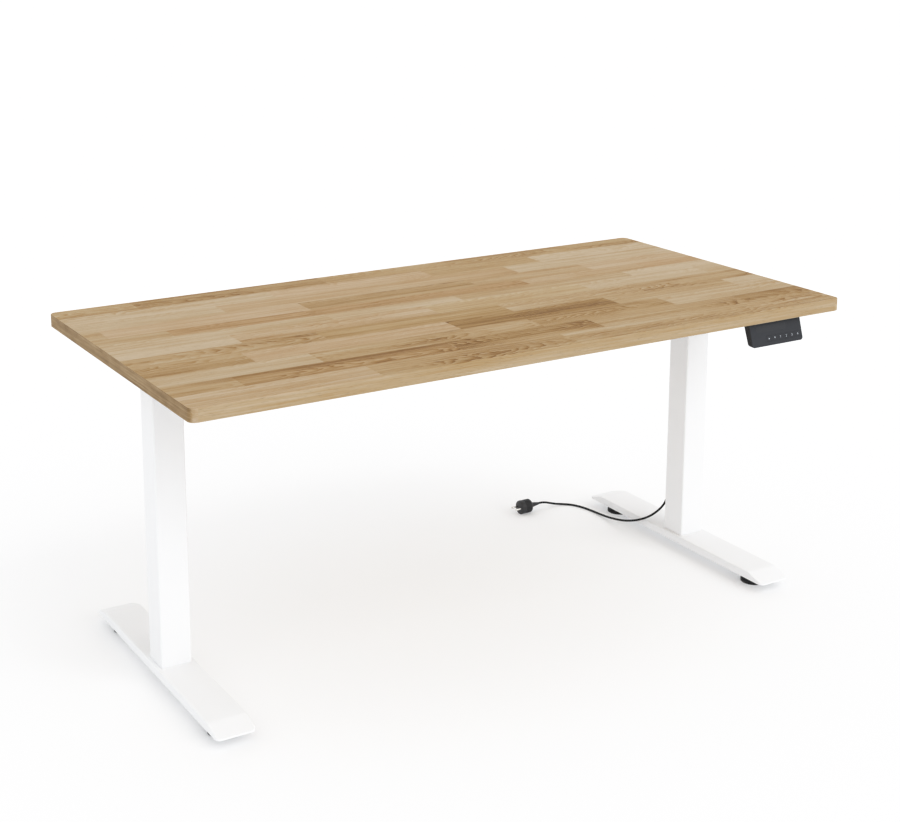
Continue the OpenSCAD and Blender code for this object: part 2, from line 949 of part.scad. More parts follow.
module plug_pins() {
    pin_len = 19;
    color("silver")
        for (side = [-1, 1])
            translate([0, plug_y + side * plug_pin_gap / 2, plug_r])
                rod_x(plug_x[0] - pin_len, plug_x[0], plug_pin_r);
}

// ---- Leads under the top ----

module socket_plug(y) {
    plug_len = box_x[0] - handset_route[len(handset_route) - 1][0];
    block([box_x[0] - plug_len, box_x[0]], [y - 6, y + 6], [socket_z - 5, socket_z + 5]);
}

module motor_leads() {
    color("black") {
        lead(left_motor_route, motor_lead_d, 8, 2);
        lead(right_motor_route, motor_lead_d, 8, 2);
        socket_plug(left_motor_socket_y);
        socket_plug(right_motor_socket_y);
    }
}

module handset_lead() {
    color("black") {
        lead(handset_route, handset_lead_d, 8, 2);
        socket_plug(handset_socket_y);
    }
}

module lead_clips() {
    clip_half = 6;
    rail_face = rear_rail_y + centre_w / 2;
    motor_lead_at = [64, 668];
    handset_lead_z = 688;
    hole = 0.15;
    color("whitesmoke") {
        for (x = [-200, 0, 200])
            translate([x, 0, 0])
                difference() {
                    block([-clip_half, clip_half], [rail_face, motor_lead_at[0] + 5],
                        [motor_lead_at[1] - 5, motor_lead_at[1] + 5]);
                    translate([0, motor_lead_at[0], motor_lead_at[1]])
                        rod_x(-2 * clip_half, 2 * clip_half, motor_lead_d / 2 + hole);
                }
        for (y = [-250, -200])
            translate([600, y, 0])
                difference() {
                    block([-clip_half, clip_half], [-clip_half, clip_half], [handset_lead_z - 4, under_z]);
                    translate([0, 0, handset_lead_z])
                        rod_y(-2 * clip_half, 2 * clip_half, handset_lead_d / 2 + hole);
                }
    }
}

// ---- Nodes ----

tabletop();
foot(-1);  // foot_left
foot(1);  // foot_right
foot_bolts();
leveller(-1, -1);  // leveller_front_left
leveller(-1, 1);  // leveller_back_left
leveller(1, -1);  // leveller_front_right
leveller(1, 1);  // leveller_back_right
leveller_nuts();
column_base_plates();
outer_tube(-1);  // outer_tube_left
outer_tube(1);  // outer_tube_right
guide_collars();
nut_tubes();
spindle_nuts();
inner_tube(-1);  // inner_tube_left
inner_tube(1);  // inner_tube_right
lower_glides();
spindle(-1);  // spindle_left
spindle(1);  // spindle_right
worm_wheel(-1);  // worm_wheel_left
worm_wheel(1);  // worm_wheel_right
worm(-1);  // worm_left
worm(1);  // worm_right
spindle_bearings();
gearbox_housings();
gearbox_lids();
motors();
motor_covers();
head_brackets();
side_brackets();
bracket_bolts();
centre_rails();
extension_rails();
rail_bolts();
tabletop_screws();
control_box_case();
control_box_lid();
control_box_board();
control_box_sockets();
handset_case();
handset_cover();
handset_display();
handset_board();
key(0);  // key_up
key(1);  // key_down
key(2);  // key_one
key(3);  // key_two
key(4);  // key_three
key(5);  // key_four
mains_connector();
mains_cord_top();
mains_cord_drop();
mains_cord_floor();
plug_body();
plug_pins();
motor_leads();
handset_lead();
lead_clips();
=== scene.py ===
"""Looks for the height adjustable standing desk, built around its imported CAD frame.

Everything is in metres in the CAD model's frame: +Z up, the origin on the floor below the
middle of the tabletop, and the user on the -Y side. The desk stands at its lowest height.
"""

import json
import math
import random

import bmesh
import bpy
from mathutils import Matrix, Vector


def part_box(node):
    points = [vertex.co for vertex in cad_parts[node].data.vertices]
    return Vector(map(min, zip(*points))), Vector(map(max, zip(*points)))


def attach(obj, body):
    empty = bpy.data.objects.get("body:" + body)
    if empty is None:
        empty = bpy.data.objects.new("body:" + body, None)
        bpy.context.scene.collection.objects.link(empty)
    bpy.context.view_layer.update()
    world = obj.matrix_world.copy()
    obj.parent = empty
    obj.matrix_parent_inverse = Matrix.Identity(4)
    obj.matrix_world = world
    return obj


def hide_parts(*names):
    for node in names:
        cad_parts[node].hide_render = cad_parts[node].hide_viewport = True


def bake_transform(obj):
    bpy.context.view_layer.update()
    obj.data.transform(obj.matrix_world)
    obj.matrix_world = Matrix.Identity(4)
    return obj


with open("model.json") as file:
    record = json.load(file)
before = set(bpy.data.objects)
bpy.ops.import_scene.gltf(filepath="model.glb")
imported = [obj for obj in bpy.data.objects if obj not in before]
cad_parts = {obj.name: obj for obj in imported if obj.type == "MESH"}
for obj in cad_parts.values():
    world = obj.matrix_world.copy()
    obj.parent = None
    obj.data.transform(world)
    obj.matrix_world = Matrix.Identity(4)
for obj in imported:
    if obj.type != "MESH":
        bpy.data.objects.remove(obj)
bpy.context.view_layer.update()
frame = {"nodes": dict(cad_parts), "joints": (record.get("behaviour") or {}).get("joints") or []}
scene = bpy.context.scene
MM = 0.001


# ---- Camera, light and floor ----


def make_camera():
    """The view from the front left, looking down on the tabletop."""
    data = bpy.data.cameras.new("camera")
    data.sensor_width = 36
    data.lens = 63.4
    data.shift_x = 0.026
    data.shift_y = -0.19
    data.clip_end = 200
    camera = bpy.data.objects.new("camera", data)
    camera.location = (-1.830, -2.939, 1.597)
    camera.rotation_euler = (math.radians(78.15), 0, math.radians(-30.96))
    scene.collection.objects.link(camera)
    scene.camera = camera


def make_world():
    """An even white studio all round."""
    world = bpy.data.worlds.new("studio")
    world.use_nodes = True
    background = world.node_tree.nodes["Background"]
    background.inputs["Color"].default_value = (1.0, 1.0, 1.0, 1)
    background.inputs["Strength"].default_value = 1.0
    scene.world = world


def soften_highlights():
    """Rolls the whites off gently, as a camera does, instead of clipping them."""
    view = scene.view_settings
    view.view_transform = "Standard"
    view.use_curve_mapping = True
    white = 1.2
    mapping = view.curve_mapping
    mapping.white_level = (white, white, white)
    combined = mapping.curves[3]
    for light, shown in ((0.4, 0.4), (0.8, 0.835), (0.92, 0.935), (1.0, 0.985)):
        combined.points.new(light / white, shown)
    mapping.update()


def make_key_light():
    """One broad soft light, high and from the front right."""
    data = bpy.data.lights.new("key", "SUN")
    data.energy = 0.9
    data.angle = math.radians(50)
    light = bpy.data.objects.new("key", data)
    light.rotation_euler = (math.radians(52), 0, math.radians(24))
    scene.collection.objects.link(light)


def make_floor():
    """A pale, glowing floor that reaches past the horizon, as light as the studio round it."""
    half = 60
    mesh = bpy.data.meshes.new("floor")
    corners = [(-half, -half, 0), (half, -half, 0), (half, half, 0), (-half, half, 0)]
    mesh.from_pydata(corners, [], [(0, 1, 2, 3)])
    floor = bpy.data.objects.new("floor", mesh)
    scene.collection.objects.link(floor)
    material = bpy.data.materials.new("floor")
    material.use_nodes = True
    shader = material.node_tree.nodes["Principled BSDF"]
    shader.inputs["Base Color"].default_value = (0.7, 0.704, 0.712, 1)
    shader.inputs["Roughness"].default_value = 0.9
    shader.inputs["Specular IOR Level"].default_value = 0.1
    shader.inputs["Emission Color"].default_value = (1, 1, 1, 1)
    shader.inputs["Emission Strength"].default_value = 0.255
    mesh.materials.append(material)


# ---- Leads: routes in millimetres, the same as the CAD model's ----

MAINS_TOP = [
    (640, 104, 669), (652, 104, 669), (666, 102, 667), (679, 97, 661), (688.5, 89, 652),
    (693.5, 79.5, 640.5), (694, 71, 628), (694, 64, 615), (694, 60.5, 601), (694, 60, 587),
    (694, 60, 574),
]
MAINS_DROP = [(694, 60, z) for z in range(520, 130, -60)]
MAINS_FLOOR = [
    (694, 60, 130), (694, 60, 116), (692, 61, 101), (685, 65, 84.5), (673.5, 73.5, 68),
    (659, 86, 53), (645, 104, 41), (635, 128, 31), (630, 162, 21), (629, 210, 11.5),
    (631, 255, 5.2), (629, 295, 3.2), (622, 330, 2.9), (609, 357, 2.9), (590, 373, 3.6),
    (570, 380, 6.4), (553, 381, 11.5), (538, 381, 16.2), (525, 381, 18.5), (514, 381, 18.5),
]
LEFT_MOTOR_ROUTE = [
    (-560, -24, 662), (-545, -24, 662), (-528, -18, 656), (-516, 0, 646), (-508, 25, 641),
    (-495, 48, 641), (-478, 61, 652), (-455, 64, 665), (-430, 64, 668), (-300, 64, 668),
    (0, 64, 668), (300, 64, 668), (335, 65, 669), (357, 72, 670), (370, 85, 671),
    (382, 96, 671), (392, 98, 671), (398, 98, 671),
]
RIGHT_MOTOR_ROUTE = [
    (560, -24, 662), (545, -24, 662), (528, -18, 656), (516, 0, 646), (508, 25, 641),
    (492, 50, 640), (470, 61, 640), (430, 64, 640), (400, 66, 641), (377, 72, 647),
    (362, 88, 658), (362, 106, 668), (376, 117, 671), (390, 118, 671), (398, 118, 671),
]
HANDSET_ROUTE = [
    (614, -379, 668), (614, -368, 668), (613, -352, 673), (609, -335, 682),
    (603, -312, 688), (600, -285, 688), (600, -180, 688), (599, -140, 688),
    (588, -112, 688), (562, -100, 688), (460, -100, 688), (378, -100, 687),
    (352, -100, 678), (338, -96, 660), (332, -89, 648), (330, -76, 641),
    (330, -50, 639), (330, 20, 640), (330, 52, 641), (332, 78, 648),
    (338, 108, 660), (352, 131, 669), (372, 138, 671), (390, 138, 671), (398, 138, 671),
]
MAINS_D = 5.5 * MM
MOTOR_LEAD_D = 5 * MM
HANDSET_LEAD_D = 3.6 * MM
# Radii of a mains strain relief at its thick and its thin end, in millimetres
RELIEF_THICK = 7
RELIEF_THIN = MAINS_D / 2 / MM + 0.8
# Size of the small plugs in the control box's sockets
PLUG_W = 12
PLUG_H = 10


def catmull(a, b, c, d, t):
    """A point between b and c on the smooth curve through a, b, c and d."""
    return 0.5 * (
        2 * b + (c - a) * t + (2 * a - 5 * b + 4 * c - d) * t * t + (3 * b - a - 3 * c + d) * t**3
    )


def smooth_route(route, spacing=4):
    """Points in metres along a route in millimetres, no further apart than the spacing."""
    points = [Vector(p) for p in route]
    path = []
    for i in range(len(points) - 1):
        a, b = points[max(i - 1, 0)], points[i]
        c, d = points[i + 1], points[min(i + 2, len(points) - 1)]
        steps = max(2, math.ceil((c - b).length / spacing))
        path += [catmull(a, b, c, d, k / steps) * MM for k in range(steps)]
    return path + [points[-1] * MM]


def path_frames(path):
    """The direction and a steady sideways normal at each point of a path."""
    normal = Vector((0.2, 0.3, 1))
    frames = []
    for i in range(len(path)):
        tangent = (path[min(i + 1, len(path) - 1)] - path[max(i - 1, 0)]).normalized()
        normal = (normal - normal.dot(tangent) * tangent).normalized()
        frames.append((tangent, normal.copy()))
    return frames


def join_rings(bm, rings):
    """Adds the sides and both ends of a closed solid through rings of vertices."""
    count = len(rings[0])
    for near, far in zip(rings, rings[1:]):
        for k in range(count):
            m = (k + 1) % count
            bm.faces.new((near[k], near[m], far[m], far[k]))
    bm.faces.new(rings[0][::-1])
    bm.faces.new(rings[-1])


def circle(bm, centre, radius, across, up, count):
    """Adds a ring of vertices round a centre, in the plane of two directions."""
    ring = []
    for k in range(count):
        angle = math.tau * k / count
        out = math.cos(angle) * across + math.sin(angle) * up
        ring.append(bm.verts.new(centre + radius * out))
    return ring


def sweep(bm, path, radius, sides=16):
    """Adds a closed round tube along a path."""
    rings = []
    for point, (tangent, normal) in zip(path, path_frames(path)):
        rings.append(circle(bm, point, radius, normal, tangent.cross(normal), sides))
    join_rings(bm, rings)


def add_piece(name, bm, material, body=None, smooth_angle=35):
    """Turns a bmesh into a named piece with a material, smooth shading and a body to ride on."""
    bmesh.ops.recalc_face_normals(bm, faces=bm.faces)
    mesh = bpy.data.meshes.new(name)
    bm.to_mesh(mesh)
    bm.free()
    mesh.materials.append(material)
    mesh.shade_smooth()
    mesh.set_sharp_from_angle(angle=math.radians(smooth_angle))
    piece = bpy.data.objects.new(name, mesh)
    scene.collection.objects.link(piece)
    if body:
        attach(piece, body)
    return piece


def make_mains_cord(material):
    """The free mains cord, from the inlet's strain relief to the plug, on one smooth curve."""
    path = smooth_route(MAINS_TOP + MAINS_DROP + MAINS_FLOOR)
    bm = bmesh.new()
    sweep(bm, path, MAINS_D / 2)
    cord = add_piece("mains_cord", bm, material)
    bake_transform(cord)
    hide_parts("mains_cord_top", "mains_cord_drop", "mains_cord_floor")
    return cord, path


# ---- Plug and connector ----

# One grip rib of the plug: distance along it and depth below its full radius
PLUG_RIB = [(0, 0.2), (1.3, 0.2), (1.6, 1), (2.3, 1)]
PLUG_RIBS = 7
# The connector's and the small plugs' sides: distance along and how far they draw in
CONNECTOR_SIDE = [(0, 0), (6, 0), (7, 1), (9, 1), (10, 0), (14, 0.3), (16.6, 1.4), (18, 3.2)]
SMALL_PLUG_SIDE = [(0, 2), (0.5, 0.7), (1.5, 0), (3, 0), (3.3, 0.6), (4.2, 0.6), (4.5, 0)]


def lathe(bm, start, axis, profile, segments=40):
    """Adds a round solid. The profile is a list of (distance along the axis, radius) in mm."""
    start = Vector(start) * MM
    axis = Vector(axis)
    side = axis.orthogonal().normalized()
    up = axis.cross(side)
    rings = []
    for along, radius in profile:
        rings.append(circle(bm, start + axis * along * MM, radius * MM, side, up, segments))
    join_rings(bm, rings)


def relief_profile(start, end, rib_pitch=3.6, rib_depth=0.7, end_break=0.4):
    """A strain relief that tapers and carries round ribs, as (along, radius) points."""
    steps = int((end - start) / rib_pitch) * 4
    points = []
    for k in range(steps):
        t = k / steps
        taper = RELIEF_THICK + (RELIEF_THIN - RELIEF_THICK) * t
        groove = rib_depth * (1 - 0.4 * t) if k % 4 in (2, 3) else 0
        points.append((start + (end - start) * t, taper - groove))
    return points + [(end - end_break, RELIEF_THIN), (end, RELIEF_THIN - end_break)]


def make_plug(plastic, nickel):
    """A round two-pin mains plug with a grip and a ribbed strain relief, lying on the floor."""
    low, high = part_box("plug_body")
    centre = (low + high) / 2 / MM
    radius = (high.z - low.z) / 2 / MM
    nose = low.x / MM
    profile = [(0, radius - 2.2), (0.6, radius - 1.1), (1.6, radius - 0.3)]
    profile += [(3, radius), (10, radius)]
    for k in range(PLUG_RIBS):
        along = 12 + 2.6 * k
        profile += [(along + a, radius - deep) for a, deep in PLUG_RIB]
    profile += [(31, radius - 0.3), (33, radius - 1.6), (36, 13.5), (38.6, 10), (40, 7.6)]
    profile += relief_profile(40.6, (high.x - low.x) / MM)
    bm = bmesh.new()
    lathe(bm, (nose, centre.y, centre.z), (1, 0, 0), profile)
    body = add_piece("plug_shell", bm, plastic, "base")
    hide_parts("plug_body")

    pin_low, pin_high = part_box("plug_pins")
    pin_r = (pin_high.z - pin_low.z) / 2 / MM
    pin_len = (pin_high.x - pin_low.x) / MM
    bm = bmesh.new()
    for y in (pin_low.y / MM + pin_r, pin_high.y / MM - pin_r):
        tip = [(pin_r * (1 - math.cos(a)), pin_r * math.sin(a)) for a in (0.25, 0.6, 1.0, 1.57)]
        lathe(bm, (pin_low.x / MM, y, centre.z), (1, 0, 0), tip + [(pin_len, pin_r)], segments=24)
    pins = add_piece("plug_contacts", bm, nickel, "base")
    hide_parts("plug_pins")
    return body, pins


def rounded_outline(width, height, radius, steps=8):
    """The points of a rounded rectangle about the origin, counter-clockwise."""
    points = []
    for quarter in range(4):
        cx = (width / 2 - radius) * (1 if quarter in (0, 3) else -1)
        cy = (height / 2 - radius) * (1 if quarter in (0, 1) else -1)
        for k in range(steps + 1):
            angle = math.radians(90 * quarter + 90 * k / steps)
            points.append((cx + radius * math.cos(angle), cy + radius * math.sin(angle)))
    return points


def loft(bm, rings):
    """Adds a closed solid through rings of points that all have the same count."""
    join_rings(bm, [[bm.verts.new(p) for p in ring] for ring in rings])


def make_connector(plastic):
    """The moulded connector in the control box's inlet, with its ribbed strain relief."""
    low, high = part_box("mains_connector")
    relief_len = 22
    y, z = (low.y + high.y) / 2 / MM, (low.z + high.z) / 2 / MM
    body_end = high.x / MM - relief_len
    width, height = (high.y - low.y) / MM, (high.z - low.z) / MM
    rings = []
    for along, inset in CONNECTOR_SIDE:
        outline = rounded_outline(width - 2 * inset, height - 2 * inset, 5)
        rings.append([Vector((low.x / MM + along, y + a, z + b)) * MM for a, b in outline])
    bm = bmesh.new()
    loft(bm, rings)
    sunk = 1
    lathe(bm, (body_end - sunk, y, z), (1, 0, 0), relief_profile(0, relief_len + sunk))
    connector = add_piece("mains_inlet_connector", bm, plastic, "top_frame")
    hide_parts("mains_connector")


def make_lead(name, node, routes, diameter, material):
    """Leads clipped under the top, each with a moulded plug in one of the control box's sockets."""
    box_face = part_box("control_box_case")[0].x / MM
    bm = bmesh.new()
    for route in routes:
        path = smooth_route(route)
        sweep(bm, path, diameter / 2)
        x, y, z = route[-1]
        rings = []
        for along, inset in SMALL_PLUG_SIDE + [(box_face - x, 0)]:
            outline = rounded_outline(PLUG_W - 2 * inset, PLUG_H - 2 * inset, 2)
            rings.append([Vector((x + along, y + across, z + up)) * MM for across, up in outline])
        loft(bm, rings)
    lead = add_piece(name, bm, material, "top_frame")
    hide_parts(node)


# ---- Material helpers ----

# Places of a colour Mix node's sockets, whose names it shares with its other types
MIX_FACTOR, MIX_A, MIX_B, MIX_RESULT = 0, 6, 7, 2


class Surface:
    """One Principled material whose node tree is built with short calls."""

    def __init__(self, name, **sockets):
        self.material = bpy.data.materials.new(name)
        self.material.use_nodes = True
        self.tree = self.material.node_tree
        self.shader = self.tree.nodes["Principled BSDF"]
        for socket, value in sockets.items():
            self.shader.inputs[socket.replace("_", " ")].default_value = value

    def node(self, kind, inputs=(), **settings):
        node = self.tree.nodes.new(kind)
        for key, value in settings.items():
            setattr(node, key, value)
        for key, value in dict(inputs).items():
            self.feed(value, node.inputs[key])
        return node

    def feed(self, value, socket):
        if isinstance(value, bpy.types.NodeSocket):
            self.tree.links.new(value, socket)
        else:
            socket.default_value = value

    def place(self, scale=(1, 1, 1)):
        """The point in the frame, in metres, stretched by a scale for each axis."""
        point = self.node("ShaderNodeTexCoord").outputs["Object"]
        return self.mapped(point, scale)

    def mapped(self, vector, scale):
        return self.node("ShaderNodeMapping", {"Vector": vector, "Scale": scale}).outputs["Vector"]

    def noise(self, vector, scale, detail=2.0, rough=0.5):
        inputs = {"Vector": vector, "Scale": scale, "Detail": detail, "Roughness": rough}
        return self.node("ShaderNodeTexNoise", inputs).outputs["Fac"]

    def cells(self, vector, scale):
        inputs = {"Vector": vector, "Scale": scale}
        return self.node("ShaderNodeTexVoronoi", inputs).outputs["Distance"]

    def calc(self, operation, a, b=0.0, clamp=False):
        node = self.node("ShaderNodeMath", {0: a, 1: b}, operation=operation, use_clamp=clamp)
        return node.outputs[0]

    def signed(self, noise, strength):
        """A 0 to 1 noise as a change about zero."""
        return self.calc("MULTIPLY", self.calc("SUBTRACT", noise, 0.5), strength)

    def parts(self, vector):
        """The three numbers in a vector."""
        return self.node("ShaderNodeSeparateXYZ", {"Vector": vector}).outputs

    def span(self, value, low, high):
        """Stretches a 0 to 1 value to run from low to high."""
        inputs = {"Value": value, "To Min": low, "To Max": high}
        return self.node("ShaderNodeMapRange", inputs).outputs["Result"]

    def window(self, value, low, high):
        """0 below low, 1 above high and smooth between them."""
        inputs = {"Value": value, "From Min": low, "From Max": high}
        node = self.node("ShaderNodeMapRange", inputs, interpolation_type="SMOOTHSTEP")
        return node.outputs["Result"]

    def ramp(self, value, stops):
        node = self.node("ShaderNodeValToRGB", {"Fac": value})
        elements = node.color_ramp.elements
        while len(elements) < len(stops):
            elements.new(0.5)
        for element, (position, colour) in zip(elements, stops):
            element.position = position
            element.color = (*colour, 1)
        return node.outputs["Color"]

    def mix(self, factor, a, b, blend="MIX"):
        node = self.node("ShaderNodeMix", data_type="RGBA", blend_type=blend)
        self.feed(factor, node.inputs[MIX_FACTOR])
        for value, socket in ((a, node.inputs[MIX_A]), (b, node.inputs[MIX_B])):
            self.feed(value if isinstance(value, bpy.types.NodeSocket) else (*value, 1), socket)
        return node.outputs[MIX_RESULT]

    def bump(self, height, distance, strength=1.0, normal=None):
        inputs = {"Height": height, "Distance": distance, "Strength": strength}
        if normal is not None:
            inputs["Normal"] = normal
        return self.node("ShaderNodeBump", inputs).outputs["Normal"]

    def attribute(self, name, output="Fac"):
        return self.node("ShaderNodeAttribute", attribute_name=name).outputs[output]

    def finish(self, colour, roughness, normal=None):
        self.feed(colour, self.shader.inputs["Base Color"])
        self.feed(roughness, self.shader.inputs["Roughness"])
        if normal is not None:
            self.feed(normal, self.shader.inputs["Normal"])
        return self.material


def tint(colour, factor):
    """A colour made lighter or darker."""
    return tuple(min(1.0, c * factor) for c in colour)


# ---- Metals, plastics and rubber ----


def powder_coat(name):
    """White powder coat: a fine orange peel, slightly uneven gloss and tone."""
    s = Surface(name, Specular_IOR_Level=0.45)
    place = s.place()
    cloud = s.noise(place, 9, 3)
    white = (0.865, 0.873, 0.885)
    colour = s.ramp(cloud, [(0.3, tint(white, 0.985)), (0.7, white)])
    peel = s.noise(place, 700, 2)
    grit = s.noise(place, 3200, 2, 0.6)
    normal = s.bump(grit, 0.00001, 0.5, s.bump(peel, 0.00006, 0.6))
    roughness = s.span(s.noise(place, 60, 3), 0.38, 0.52)
    return s.finish(colour, roughness, normal)


def moulded_plastic(name, colour, texture_scale=1800, depth=0.00002, rough=(0.42, 0.56)):
    """Moulded plastic: an etched grain, a faint flow in its tone and soft gloss changes."""
    s = Surface(name)
    place = s.place()
    flow = s.noise(place, 22, 3)
    tone = s.ramp(flow, [(0.25, tint(colour, 0.88)), (0.75, tint(colour, 1.08))])
    grain = s.cells(place, texture_scale)
    fine = s.noise(place, texture_scale * 2.2, 2)
    normal = s.bump(fine, depth * 0.5, 0.5, s.bump(grain, depth, 0.7))
    roughness = s.span(s.noise(place, 130, 4, 0.6), *rough)
    return s.finish(tone, roughness, normal)


def rubber(name, colour, rough=(0.55, 0.75)):
    """Matte rubber or sheathing with a slightly dusty bloom."""
    s = Surface(name, Specular_IOR_Level=0.22)
    place = s.place()
    bloom = s.noise(place, 45, 4, 0.65)
    tone = s.ramp(bloom, [(0.35, colour), (0.8, tint(colour, 1.6))])
    normal = s.bump(s.noise(place, 1500, 3, 0.6), 0.00003, 0.6)
    return s.finish(tone, s.span(s.noise(place, 200, 3), *rough), normal)


def plated_metal(name, colour, rough=(0.25, 0.42), stretch=(1, 1, 1), mottle=90):
    """Plated or machined metal: mottled tone, tool marks along one axis and uneven gloss."""
    s = Surface(name, Metallic=1.0)
    place = s.place()
    patches = s.noise(place, mottle, 4, 0.6)
    tone = s.ramp(patches, [(0.3, tint(colour, 0.82)), (0.55, colour), (0.8, tint(colour, 1.1))])
    marks = s.noise(s.place(stretch), 900, 3, 0.6)
    normal = s.bump(marks, 0.00002, 0.5)
    roughness = s.span(s.noise(place, mottle * 2.5, 3), *rough)
    return s.finish(tone, roughness, normal)


def cast_alloy(name):
    """Die-cast alloy: grainy, matte and a little patchy."""
    s = Surface(name, Metallic=0.75)
    place = s.place()
    grey = (0.30, 0.31, 0.32)
    tone = s.ramp(s.noise(place, 70, 5, 0.65), [(0.3, tint(grey, 0.75)), (0.7, tint(grey, 1.15))])
    pits = s.cells(place, 1100)
    normal = s.bump(s.noise(place, 500, 4, 0.7), 0.0001, 0.6, s.bump(pits, 0.00004, 0.5))
    return s.finish(tone, s.span(s.noise(place, 160, 3), 0.48, 0.68), normal)


def painted_can(name):
    """The motor's steel can under satin black paint."""
    s = Surface(name, Coat_Weight=0.2, Coat_Roughness=0.3)
    place = s.place()
    black = (0.03, 0.03, 0.032)
    tone = s.ramp(s.noise(place, 40, 3), [(0.3, tint(black, 0.8)), (0.7, tint(black, 1.3))])
    normal = s.bump(s.noise(place, 900, 2), 0.00004, 0.5)
    return s.finish(tone, s.span(s.noise(place, 150, 3), 0.35, 0.5), normal)


def smoked_window(name):
    """The satin black display window, with faint wipe marks in its gloss."""
    s = Surface(name)
    place = s.place((1, 1, 4))
    dark, light = (0.0105, 0.0125, 0.0175), (0.0125, 0.015, 0.0205)
    tone = s.ramp(s.noise(place, 60, 2), [(0.3, dark), (0.7, light)])
    return s.finish(tone, s.span(s.noise(place, 120, 4, 0.7), 0.46, 0.58))


def circuit_board(name):
    """Green solder mask over copper tracks, with pads."""
    s = Surface(name, Coat_Weight=0.6, Coat_Roughness=0.1)
    place = s.place()
    black, white = (0, 0, 0, 1), (1, 1, 1, 1)
    inputs = {"Vector": place, "Scale": 60.0, "Mortar Size": 0.03}
    colours = {"Color1": black, "Color2": black, "Mortar": white}
    tracks = s.node("ShaderNodeTexBrick", {**inputs, **colours}).outputs["Color"]
    mask = s.ramp(s.noise(place, 150, 3), [(0.3, (0.008, 0.09, 0.04)), (0.7, (0.012, 0.13, 0.055))])
    with_tracks = s.mix(tracks, mask, (0.02, 0.2, 0.08))
    pads = s.window(s.cells(place, 240), 0.22, 0.16)
    tone = s.mix(pads, with_tracks, (0.55, 0.5, 0.42))
    normal = s.bump(tracks, 0.00008, 0.6)
    return s.finish(tone, s.span(pads, 0.2, 0.35), normal)


# ---- Wood ----

WOOD_TONES = [
    (0.0, (0.170, 0.075, 0.012)),
    (0.2, (0.272, 0.152, 0.042)),
    (0.5, (0.380, 0.258, 0.122)),
    (0.8, (0.428, 0.334, 0.212)),
    (1.0, (0.465, 0.380, 0.268)),
]
END_GRAIN_TONES = [
    (0.34, (0.190, 0.118, 0.052)),
    (0.50, (0.300, 0.200, 0.098)),
    (0.64, (0.390, 0.280, 0.155)),
]
RINGS_PER_METRE = 330


def growth_rings(s, local, along):
    """Dark lines round the pith, bent by slow noise, so that flat faces show long arches."""
    warp = s.noise(s.mapped(local, (3.0, 12, 12)), 1.0, 2, 0.5)
    drift = s.noise(s.mapped(local, (16, 60, 60)), 1.0, 2, 0.55)
    axes = s.parts(local)
    height = s.calc("ADD", axes[2], s.calc("MULTIPLY", along, 0.07))
    across = s.calc("MULTIPLY", axes[1], axes[1])
    reach = s.calc("SQRT", s.calc("ADD", across, s.calc("MULTIPLY", height, height)))
    bent = s.calc("ADD", reach, s.calc("MULTIPLY", warp, 0.030))
    bent = s.calc("ADD", bent, s.calc("MULTIPLY", drift, 0.008))
    rings = s.calc("FRACT", s.calc("MULTIPLY", bent, RINGS_PER_METRE))
    late_wood = s.calc("POWER", rings, 1.6)
    return s.calc("MULTIPLY", late_wood, s.window(rings, 1.0, 0.86))


def sawn_end(s, point):
    """The colour of the sawn ends: browner, with fine level lines across them."""
    level_lines = s.noise(s.mapped(point, (1, 5, 330)), 1.0, 4, 0.62)
    blotches = s.noise(s.mapped(point, (1, 22, 60)), 1.0, 3, 0.55)
    lines_share = s.calc("MULTIPLY", level_lines, 0.62)
    depth = s.calc("ADD", lines_share, s.calc("MULTIPLY", blotches, 0.38))
    return s.ramp(depth, END_GRAIN_TONES)


def turn_hue(s, colour, hue):
    """Makes a stave's colour pinker for a hue above zero, or yellower for one below."""
    pink = s.mix(1.0, colour, (1.05, 0.945, 0.93), "MULTIPLY")
    yellow = s.mix(1.0, colour, (1.02, 1.01, 0.86), "MULTIPLY")
    colour = s.mix(s.calc("MAXIMUM", hue, 0.0), colour, pink)
    return s.mix(s.calc("MAXIMUM", s.calc("MULTIPLY", hue, -1.0), 0.0), colour, yellow)


